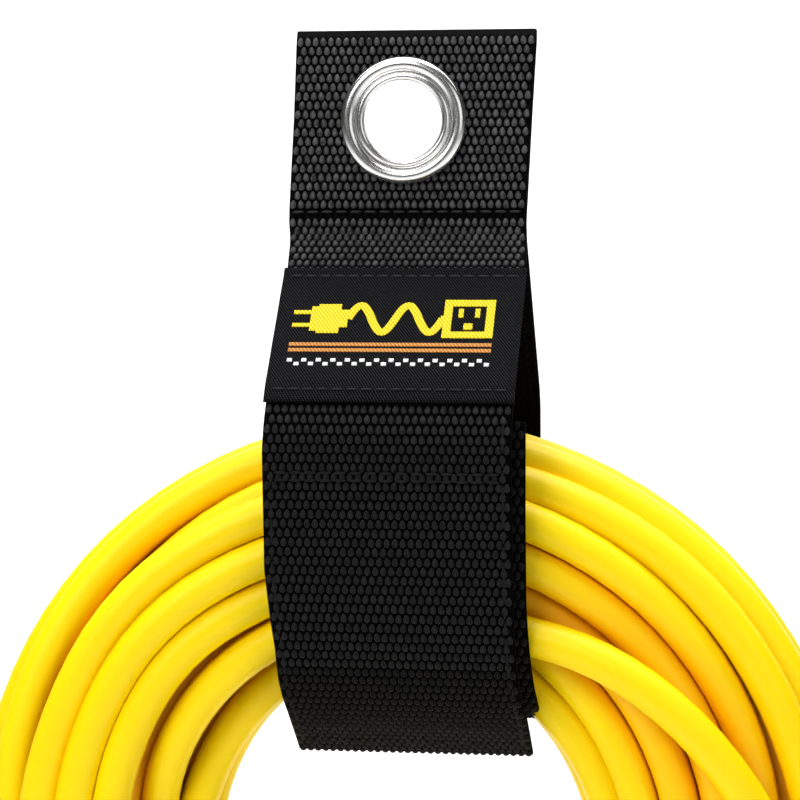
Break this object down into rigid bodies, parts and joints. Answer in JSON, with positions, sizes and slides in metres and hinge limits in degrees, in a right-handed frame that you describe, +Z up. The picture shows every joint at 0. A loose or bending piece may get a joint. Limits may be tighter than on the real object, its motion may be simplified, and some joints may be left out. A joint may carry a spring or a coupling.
{
  "type": "coiled extension cord",
  "caption": "Grounded extension cord coiled in a ring and hung in a wide webbing strap with a metal eyelet, a hook-and-loop front flap and an embroidered label.",
  "frame": {"origin": "centre of the hanging eyelet's bore", "axes": "+Z up along the strap, -Y out of the front (label) side along the eyelet's bore, +X to the right seen from the front"},
  "size_m": [0.186, 0.0572, 0.3462],
  "materials": {
    "webbing": "black woven polypropylene webbing",
    "hook_tape": "black nylon hook tape",
    "loop_tape": "black brushed nylon loop tape",
    "label": "black woven twill label",
    "thread": "black sewing thread",
    "embroidery": "yellow and orange embroidery thread",
    "steel": "nickel-plated steel",
    "jacket": "glossy yellow vinyl cord jacket",
    "overmould": "yellow moulded vinyl",
    "insert": "black moulded plastic",
    "brass": "brass blades and contacts",
    "wire_black": "black vinyl insulation",
    "wire_white": "white vinyl insulation",
    "wire_green": "green vinyl insulation"
  },
  "bodies": {
    "strap_and_cord": {"hanger_webbing": "webbing", "hanger_stitching": "thread", "grommet_eyelet": "steel", "grommet_washer": "steel", "cord_coil": "jacket", "plug_lead": "jacket", "connector_lead": "jacket", "plug_strain_relief": "overmould", "plug_body": "overmould", "plug_insert": "insert", "plug_line_blade": "brass", "plug_neutral_blade": "brass", "plug_ground_pin": "brass", "plug_line_wire": "wire_black", "plug_neutral_wire": "wire_white", "plug_ground_wire": "wire_green", "connector_strain_relief": "overmould", "connector_body": "overmould", "connector_insert": "insert", "connector_line_contact": "brass", "connector_neutral_contact": "brass", "connector_ground_contact": "brass", "connector_line_wire": "wire_black", "connector_neutral_wire": "wire_white", "connector_ground_wire": "wire_green"},
    "flap": {"flap_webbing": "webbing", "hook_tape": "hook_tape", "hook_tape_stitching": "thread", "woven_label": "label", "label_embroidery": "embroidery", "label_stitching": "thread"},
    "tail": {"tail_webbing": "webbing", "loop_tape": "loop_tape", "loop_tape_stitching": "thread"}
  },
  "joints": [
    {"name": "flap_hinge", "type": "hinge", "parent": "strap_and_cord", "child": "flap", "pos_m": [0, -0.002, -0.0205], "axis": [-1, 0, 0], "range_deg": [0, 115]},
    {"name": "tail_hinge", "type": "hinge", "parent": "strap_and_cord", "child": "tail", "pos_m": [0, -0.0015, -0.1224], "axis": [1, 0, 0], "range_deg": [0, 58]}
  ],
  "couplings": [
    {"joint": "tail_hinge", "follows": "flap_hinge", "ratio": 0.5}
  ]
}
